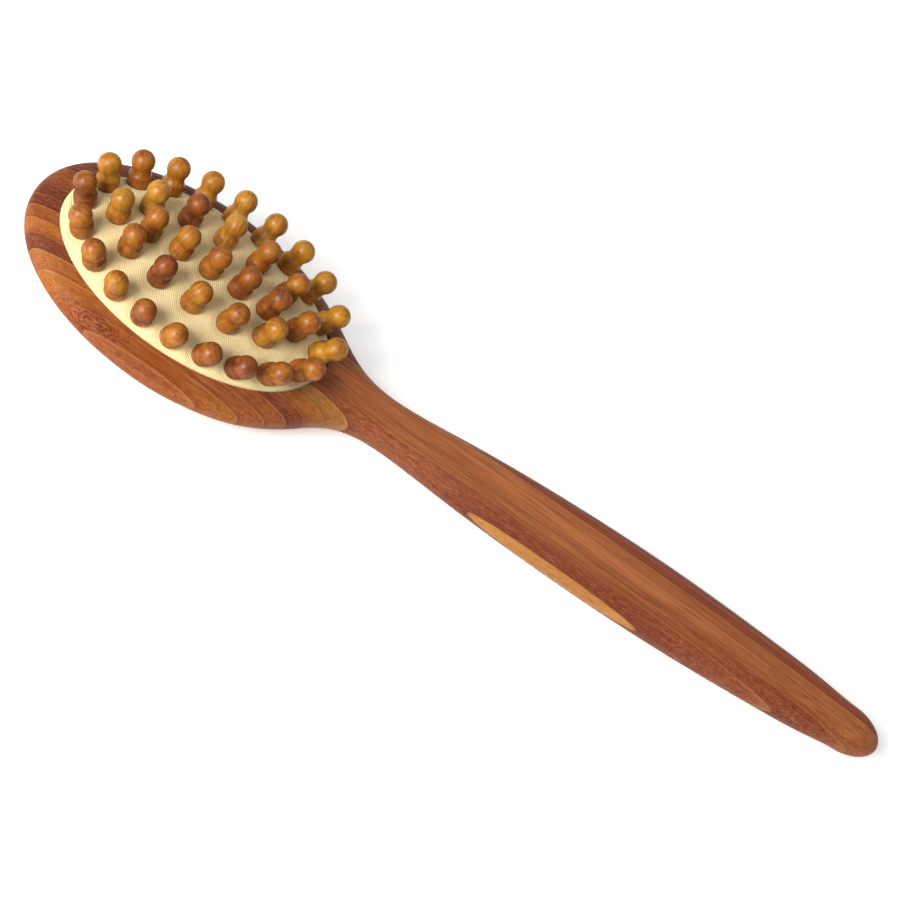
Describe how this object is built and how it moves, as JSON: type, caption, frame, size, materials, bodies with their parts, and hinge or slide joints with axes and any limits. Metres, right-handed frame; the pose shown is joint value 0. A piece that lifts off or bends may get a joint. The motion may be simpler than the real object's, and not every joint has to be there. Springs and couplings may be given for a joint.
{
  "type": "massage brush",
  "caption": "Long-handled wooden massage brush: an oval head with a domed rubber cushion that carries rows of turned ball-tipped pegs.",
  "frame": {"origin": "centre of the flat back of the head, under the middle of the cushion", "axes": "+X along the brush towards the end of the handle, +Y across it, +Z out of the cushion"},
  "size_m": [0.3977, 0.0916, 0.043],
  "materials": {
    "bamboo": "satin varnish over laminated carbonised bamboo",
    "cushion_rubber": "matt, finely ribbed",
    "peg_wood": "satin varnish on turned wood"
  },
  "bodies": {
    "handle": {"body": "bamboo"},
    "cushion": {"cushion": "cushion_rubber"},
    "outer_peg_01": {"outer_peg_01": "peg_wood"},
    "outer_peg_02": {"outer_peg_02": "peg_wood"},
    "outer_peg_03": {"outer_peg_03": "peg_wood"},
    "outer_peg_04": {"outer_peg_04": "peg_wood"},
    "outer_peg_05": {"outer_peg_05": "peg_wood"},
    "outer_peg_06": {"outer_peg_06": "peg_wood"},
    "outer_peg_07": {"outer_peg_07": "peg_wood"},
    "outer_peg_08": {"outer_peg_08": "peg_wood"},
    "outer_peg_09": {"outer_peg_09": "peg_wood"},
    "outer_peg_10": {"outer_peg_10": "peg_wood"},
    "outer_peg_11": {"outer_peg_11": "peg_wood"},
    "outer_peg_12": {"outer_peg_12": "peg_wood"},
    "outer_peg_13": {"outer_peg_13": "peg_wood"},
    "outer_peg_14": {"outer_peg_14": "peg_wood"},
    "outer_peg_15": {"outer_peg_15": "peg_wood"},
    "outer_peg_16": {"outer_peg_16": "peg_wood"},
    "outer_peg_17": {"outer_peg_17": "peg_wood"},
    "outer_peg_18": {"outer_peg_18": "peg_wood"},
    "outer_peg_19": {"outer_peg_19": "peg_wood"},
    "outer_peg_20": {"outer_peg_20": "peg_wood"},
    "inner_peg_01": {"inner_peg_01": "peg_wood"},
    "inner_peg_02": {"inner_peg_02": "peg_wood"},
    "inner_peg_03": {"inner_peg_03": "peg_wood"},
    "inner_peg_04": {"inner_peg_04": "peg_wood"},
    "inner_peg_05": {"inner_peg_05": "peg_wood"},
    "inner_peg_06": {"inner_peg_06": "peg_wood"},
    "inner_peg_07": {"inner_peg_07": "peg_wood"},
    "inner_peg_08": {"inner_peg_08": "peg_wood"},
    "inner_peg_09": {"inner_peg_09": "peg_wood"},
    "inner_peg_10": {"inner_peg_10": "peg_wood"},
    "inner_peg_11": {"inner_peg_11": "peg_wood"},
    "inner_peg_12": {"inner_peg_12": "peg_wood"},
    "centre_peg_01": {"centre_peg_01": "peg_wood"},
    "centre_peg_02": {"centre_peg_02": "peg_wood"},
    "centre_peg_03": {"centre_peg_03": "peg_wood"},
    "centre_peg_04": {"centre_peg_04": "peg_wood"},
    "centre_peg_05": {"centre_peg_05": "peg_wood"}
  },
  "joints": [
    {"name": "cushion_press", "type": "slide", "parent": "handle", "child": "cushion", "axis": [0, 0, -1], "range_m": [0, 0.0025], "stiffness_N_per_m": 2500, "deforming": ["cushion"]},
    {"name": "outer_peg_01_tilt", "type": "hinge", "parent": "cushion", "child": "outer_peg_01", "pos_m": [0.05253, 0, 0.02468], "axis": [0, 1, 0], "range_deg": [-8, 8], "stiffness_Nm_per_rad": 0.03},
    {"name": "outer_peg_02_tilt", "type": "hinge", "parent": "cushion", "child": "outer_peg_02", "pos_m": [0.04837, 0.01285, 0.02469], "axis": [0, 1, 0], "range_deg": [-8, 8], "stiffness_Nm_per_rad": 0.03},
    {"name": "outer_peg_03_tilt", "type": "hinge", "parent": "cushion", "child": "outer_peg_03", "pos_m": [0.03863, 0.02233, 0.02471], "axis": [0, 1, 0], "range_deg": [-8, 8], "stiffness_Nm_per_rad": 0.03},
    {"name": "outer_peg_04_tilt", "type": "hinge", "parent": "cushion", "child": "outer_peg_04", "pos_m": [0.02652, 0.02844, 0.02472], "axis": [0, 1, 0], "range_deg": [-8, 8], "stiffness_Nm_per_rad": 0.03},
    {"name": "outer_peg_05_tilt", "type": "hinge", "parent": "cushion", "child": "outer_peg_05", "pos_m": [0.01346, 0.03185, 0.02473], "axis": [0, 1, 0], "range_deg": [-8, 8], "stiffness_Nm_per_rad": 0.03},
    {"name": "outer_peg_06_tilt", "type": "hinge", "parent": "cushion", "child": "outer_peg_06", "pos_m": [0, 0.03295, 0.02473], "axis": [0, 1, 0], "range_deg": [-8, 8], "stiffness_Nm_per_rad": 0.03},
    {"name": "outer_peg_07_tilt", "type": "hinge", "parent": "cushion", "child": "outer_peg_07", "pos_m": [-0.01354, 0.03184, 0.02473], "axis": [0, 1, 0], "range_deg": [-8, 8], "stiffness_Nm_per_rad": 0.03},
    {"name": "outer_peg_08_tilt", "type": "hinge", "parent": "cushion", "child": "outer_peg_08", "pos_m": [-0.02659, 0.02842, 0.02472], "axis": [0, 1, 0], "range_deg": [-8, 8], "stiffness_Nm_per_rad": 0.03},
    {"name": "outer_peg_09_tilt", "type": "hinge", "parent": "cushion", "child": "outer_peg_09", "pos_m": [-0.03868, 0.02229, 0.02471], "axis": [0, 1, 0], "range_deg": [-8, 8], "stiffness_Nm_per_rad": 0.03},
    {"name": "outer_peg_10_tilt", "type": "hinge", "parent": "cushion", "child": "outer_peg_10", "pos_m": [-0.0484, 0.01281, 0.02469], "axis": [0, 1, 0], "range_deg": [-8, 8], "stiffness_Nm_per_rad": 0.03},
    {"name": "outer_peg_11_tilt", "type": "hinge", "parent": "cushion", "child": "outer_peg_11", "pos_m": [-0.05253, 0, 0.02468], "axis": [0, 1, 0], "range_deg": [-8, 8], "stiffness_Nm_per_rad": 0.03},
    {"name": "outer_peg_12_tilt", "type": "hinge", "parent": "cushion", "child": "outer_peg_12", "pos_m": [-0.04837, -0.01285, 0.02469], "axis": [0, 1, 0], "range_deg": [-8, 8], "stiffness_Nm_per_rad": 0.03},
    {"name": "outer_peg_13_tilt", "type": "hinge", "parent": "cushion", "child": "outer_peg_13", "pos_m": [-0.03863, -0.02233, 0.02471], "axis": [0, 1, 0], "range_deg": [-8, 8], "stiffness_Nm_per_rad": 0.03},
    {"name": "outer_peg_14_tilt", "type": "hinge", "parent": "cushion", "child": "outer_peg_14", "pos_m": [-0.02652, -0.02844, 0.02472], "axis": [0, 1, 0], "range_deg": [-8, 8], "stiffness_Nm_per_rad": 0.03},
    {"name": "outer_peg_15_tilt", "type": "hinge", "parent": "cushion", "child": "outer_peg_15", "pos_m": [-0.01346, -0.03185, 0.02473], "axis": [0, 1, 0], "range_deg": [-8, 8], "stiffness_Nm_per_rad": 0.03},
    {"name": "outer_peg_16_tilt", "type": "hinge", "parent": "cushion", "child": "outer_peg_16", "pos_m": [0, -0.03295, 0.02473], "axis": [0, 1, 0], "range_deg": [-8, 8], "stiffness_Nm_per_rad": 0.03},
    {"name": "outer_peg_17_tilt", "type": "hinge", "parent": "cushion", "child": "outer_peg_17", "pos_m": [0.01354, -0.03184, 0.02473], "axis": [0, 1, 0], "range_deg": [-8, 8], "stiffness_Nm_per_rad": 0.03},
    {"name": "outer_peg_18_tilt", "type": "hinge", "parent": "cushion", "child": "outer_peg_18", "pos_m": [0.02659, -0.02842, 0.02472], "axis": [0, 1, 0], "range_deg": [-8, 8], "stiffness_Nm_per_rad": 0.03},
    {"name": "outer_peg_19_tilt", "type": "hinge", "parent": "cushion", "child": "outer_peg_19", "pos_m": [0.03868, -0.02229, 0.02471], "axis": [0, 1, 0], "range_deg": [-8, 8], "stiffness_Nm_per_rad": 0.03},
    {"name": "outer_peg_20_tilt", "type": "hinge", "parent": "cushion", "child": "outer_peg_20", "pos_m": [0.0484, -0.01281, 0.02469], "axis": [0, 1, 0], "range_deg": [-8, 8], "stiffness_Nm_per_rad": 0.03},
    {"name": "inner_peg_01_tilt", "type": "hinge", "parent": "cushion", "child": "inner_peg_01", "pos_m": [0.03963, 0, 0.02806], "axis": [0, 1, 0], "range_deg": [-8, 8], "stiffness_Nm_per_rad": 0.03},
    {"name": "inner_peg_02_tilt", "type": "hinge", "parent": "cushion", "child": "inner_peg_02", "pos_m": [0.03002, 0.01131, 0.02881], "axis": [0, 1, 0], "range_deg": [-8, 8], "stiffness_Nm_per_rad": 0.03},
    {"name": "inner_peg_03_tilt", "type": "hinge", "parent": "cushion", "child": "inner_peg_03", "pos_m": [0.01531, 0.01598, 0.0295], "axis": [0, 1, 0], "range_deg": [-8, 8], "stiffness_Nm_per_rad": 0.03},
    {"name": "inner_peg_04_tilt", "type": "hinge", "parent": "cushion", "child": "inner_peg_04", "pos_m": [0, 0.01732, 0.02973], "axis": [0, 1, 0], "range_deg": [-8, 8], "stiffness_Nm_per_rad": 0.03},
    {"name": "inner_peg_05_tilt", "type": "hinge", "parent": "cushion", "child": "inner_peg_05", "pos_m": [-0.01537, 0.01597, 0.0295], "axis": [0, 1, 0], "range_deg": [-8, 8], "stiffness_Nm_per_rad": 0.03},
    {"name": "inner_peg_06_tilt", "type": "hinge", "parent": "cushion", "child": "inner_peg_06", "pos_m": [-0.03006, 0.01129, 0.02881], "axis": [0, 1, 0], "range_deg": [-8, 8], "stiffness_Nm_per_rad": 0.03},
    {"name": "inner_peg_07_tilt", "type": "hinge", "parent": "cushion", "child": "inner_peg_07", "pos_m": [-0.03963, 0, 0.02806], "axis": [0, 1, 0], "range_deg": [-8, 8], "stiffness_Nm_per_rad": 0.03},
    {"name": "inner_peg_08_tilt", "type": "hinge", "parent": "cushion", "child": "inner_peg_08", "pos_m": [-0.03002, -0.01131, 0.02881], "axis": [0, 1, 0], "range_deg": [-8, 8], "stiffness_Nm_per_rad": 0.03},
    {"name": "inner_peg_09_tilt", "type": "hinge", "parent": "cushion", "child": "inner_peg_09", "pos_m": [-0.01531, -0.01598, 0.0295], "axis": [0, 1, 0], "range_deg": [-8, 8], "stiffness_Nm_per_rad": 0.03},
    {"name": "inner_peg_10_tilt", "type": "hinge", "parent": "cushion", "child": "inner_peg_10", "pos_m": [0, -0.01732, 0.02973], "axis": [0, 1, 0], "range_deg": [-8, 8], "stiffness_Nm_per_rad": 0.03},
    {"name": "inner_peg_11_tilt", "type": "hinge", "parent": "cushion", "child": "inner_peg_11", "pos_m": [0.01537, -0.01597, 0.0295], "axis": [0, 1, 0], "range_deg": [-8, 8], "stiffness_Nm_per_rad": 0.03},
    {"name": "inner_peg_12_tilt", "type": "hinge", "parent": "cushion", "child": "inner_peg_12", "pos_m": [0.03006, -0.01129, 0.02881], "axis": [0, 1, 0], "range_deg": [-8, 8], "stiffness_Nm_per_rad": 0.03},
    {"name": "centre_peg_01_tilt", "type": "hinge", "parent": "cushion", "child": "centre_peg_01", "pos_m": [-0.02629, 0, 0.02987], "axis": [0, 1, 0], "range_deg": [-8, 8], "stiffness_Nm_per_rad": 0.03},
    {"name": "centre_peg_02_tilt", "type": "hinge", "parent": "cushion", "child": "centre_peg_02", "pos_m": [-0.01314, 0, 0.03081], "axis": [0, 1, 0], "range_deg": [-8, 8], "stiffness_Nm_per_rad": 0.03},
    {"name": "centre_peg_03_tilt", "type": "hinge", "parent": "cushion", "child": "centre_peg_03", "pos_m": [0, 0, 0.0311], "axis": [0, 1, 0], "range_deg": [-8, 8], "stiffness_Nm_per_rad": 0.03},
    {"name": "centre_peg_04_tilt", "type": "hinge", "parent": "cushion", "child": "centre_peg_04", "pos_m": [0.01314, 0, 0.03081], "axis": [0, 1, 0], "range_deg": [-8, 8], "stiffness_Nm_per_rad": 0.03},
    {"name": "centre_peg_05_tilt", "type": "hinge", "parent": "cushion", "child": "centre_peg_05", "pos_m": [0.02629, 0, 0.02987], "axis": [0, 1, 0], "range_deg": [-8, 8], "stiffness_Nm_per_rad": 0.03}
  ]
}
